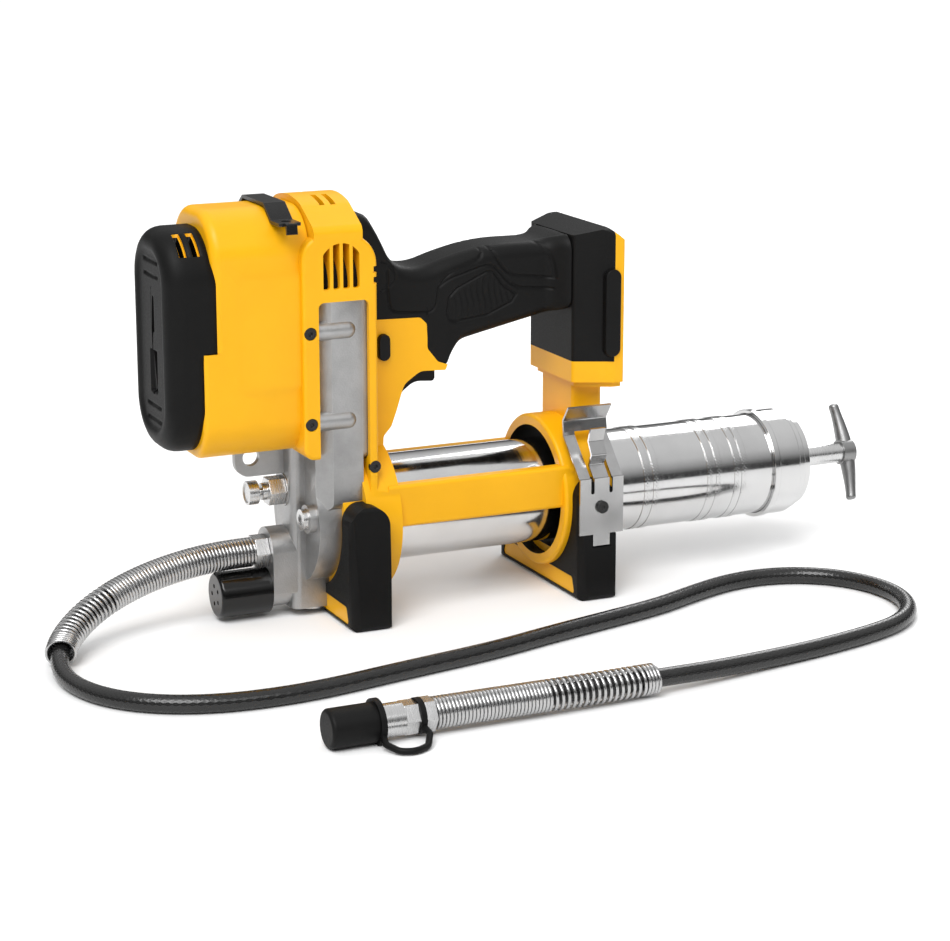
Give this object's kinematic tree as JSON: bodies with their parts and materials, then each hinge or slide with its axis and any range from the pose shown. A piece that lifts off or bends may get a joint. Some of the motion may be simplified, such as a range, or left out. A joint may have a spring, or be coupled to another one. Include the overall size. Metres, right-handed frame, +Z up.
{
  "type": "cordless grease gun",
  "caption": "Cordless pistol-type lubricating gun with a cast pump head, motor, screw-in grease barrel, D-handle and a spring-guarded delivery hose.",
  "frame": {"origin": "middle of the tool's outline on the bench its feet stand on, hose and coupler left out", "axes": "+X along the barrel towards the T-handle, +Y the operator's right, +Z up"},
  "size_m": [0.5005, 0.2817, 0.2241],
  "materials": {
    "yellow_plastic": "satin moulded nylon",
    "black_rubber": "matte overmould",
    "black_plastic": "satin",
    "cast_aluminium": "sand cast, bright",
    "zinc": "die cast zinc, satin",
    "chrome": "bright plated",
    "steel": "machined",
    "spring_steel": "polished strip and wire",
    "dark_steel": "black oxide",
    "bronze": "sintered",
    "copper_terminal": "plated blade",
    "magnet": "ferrite",
    "laminations": "wound core",
    "hose_rubber": "semi-gloss"
  },
  "bodies": {
    "housing": {"clamshell_left": "yellow_plastic", "clamshell_right": "yellow_plastic", "motor_housing": "yellow_plastic", "top_vent_cover": "yellow_plastic", "grip_overmould": "black_rubber", "bay_overmould": "black_rubber", "bay_bumpers": "black_rubber", "front_foot_pad": "black_rubber", "rear_foot_pad": "black_rubber", "motor_end_cap": "black_rubber", "relief_cover": "black_rubber", "cap_tether": "black_rubber", "barrel_seal": "black_rubber", "switch_module": "black_plastic", "terminal_block": "black_plastic", "brush_card": "black_plastic", "gearcase": "cast_aluminium", "gearcase_cover": "cast_aluminium", "relief_valve": "steel", "pump_plug": "steel", "bleeder_body": "steel", "check_valve_plug": "steel", "motor_can": "steel", "motor_bearings": "steel", "idler_pin": "steel", "hose_fitting": "steel", "coupler_adapter": "steel", "coupler_body": "steel", "coupler_clip": "spring_steel", "check_spring": "spring_steel", "hose_guard_head": "spring_steel", "hose_guard_tip": "spring_steel", "strap_bracket": "dark_steel", "gearcase_screws": "dark_steel", "housing_screws": "dark_steel", "clip_screw": "dark_steel", "crank_bushing": "bronze", "terminal_blades": "copper_terminal", "motor_magnets": "magnet", "hose": "hose_rubber"},
    "barrel": {"barrel_tube": "chrome"},
    "cap": {"end_cap": "chrome"},
    "follower": {"follower_cup": "black_rubber", "follower_plate": "steel", "follower_spring": "spring_steel"},
    "rod": {"follower_rod": "steel", "t_handle": "zinc"},
    "trigger": {"trigger": "black_plastic"},
    "lock_button": {"lock_button": "black_plastic"},
    "bleeder_stem": {"bleeder_stem": "steel"},
    "check_ball": {"check_ball": "steel"},
    "rotor": {"armature": "laminations", "motor_shaft": "steel", "motor_fan": "black_plastic", "motor_pinion": "steel"},
    "idler": {"idler_gear": "steel"},
    "crank": {"crank_gear": "steel", "crank_shaft": "steel"},
    "plunger": {"plunger": "steel"},
    "dust_cap": {"dust_cap": "black_rubber"}
  },
  "joints": [
    {"name": "barrel_draw", "type": "slide", "parent": "housing", "child": "barrel", "axis": [1, 0, 0], "range_m": [0, 0.03]},
    {"name": "cap_turn", "type": "hinge", "parent": "barrel", "child": "cap", "pos_m": [0.15, 0, 0.0516], "axis": [1, 0, 0], "continuous": true},
    {"name": "follower_slide", "type": "slide", "parent": "barrel", "child": "follower", "axis": [1, 0, 0], "range_m": [0, 0.2], "stiffness_N_per_m": 200, "springref_m": -0.2, "deforming": ["follower_spring"]},
    {"name": "rod_turn", "type": "hinge", "parent": "follower", "child": "rod", "pos_m": [0.2, 0, 0.0516], "axis": [1, 0, 0], "continuous": true},
    {"name": "trigger_squeeze", "type": "slide", "parent": "housing", "child": "trigger", "axis": [0, 0, 1], "range_m": [0, 0.006], "stiffness_N_per_m": 500, "springref_m": -0.006},
    {"name": "lock_slide", "type": "slide", "parent": "housing", "child": "lock_button", "axis": [0, 1, 0], "range_m": [0, 0.004]},
    {"name": "bleeder_press", "type": "slide", "parent": "housing", "child": "bleeder_stem", "axis": [1, 0, 0], "range_m": [0, 0.002], "stiffness_N_per_m": 600, "springref_m": -0.003},
    {"name": "check_ball_lift", "type": "slide", "parent": "housing", "child": "check_ball", "axis": [-1, 0, 0], "range_m": [0, 0.0015], "stiffness_N_per_m": 200, "springref_m": -0.002, "deforming": ["check_spring"]},
    {"name": "rotor_spin", "type": "hinge", "parent": "housing", "child": "rotor", "pos_m": [-0.13, 0, 0.17], "axis": [1, 0, 0], "continuous": true},
    {"name": "idler_spin", "type": "hinge", "parent": "housing", "child": "idler", "pos_m": [-0.12, 0.01012, 0.14824], "axis": [1, 0, 0], "continuous": true},
    {"name": "crank_spin", "type": "hinge", "parent": "housing", "child": "crank", "pos_m": [-0.12, 0, 0.12], "axis": [1, 0, 0], "continuous": true},
    {"name": "plunger_stroke", "type": "slide", "parent": "housing", "child": "plunger", "axis": [0, 0, 1], "range_m": [-0.006, 0.006]},
    {"name": "dust_cap_pull", "type": "slide", "parent": "housing", "child": "dust_cap", "axis": [-1, 0, 0], "range_m": [0, 0.022], "deforming": ["cap_tether"]}
  ],
  "couplings": [
    {"joint": "idler_spin", "follows": "rotor_spin", "ratio": -0.25},
    {"joint": "crank_spin", "follows": "rotor_spin", "ratio": 0.0625}
  ]
}
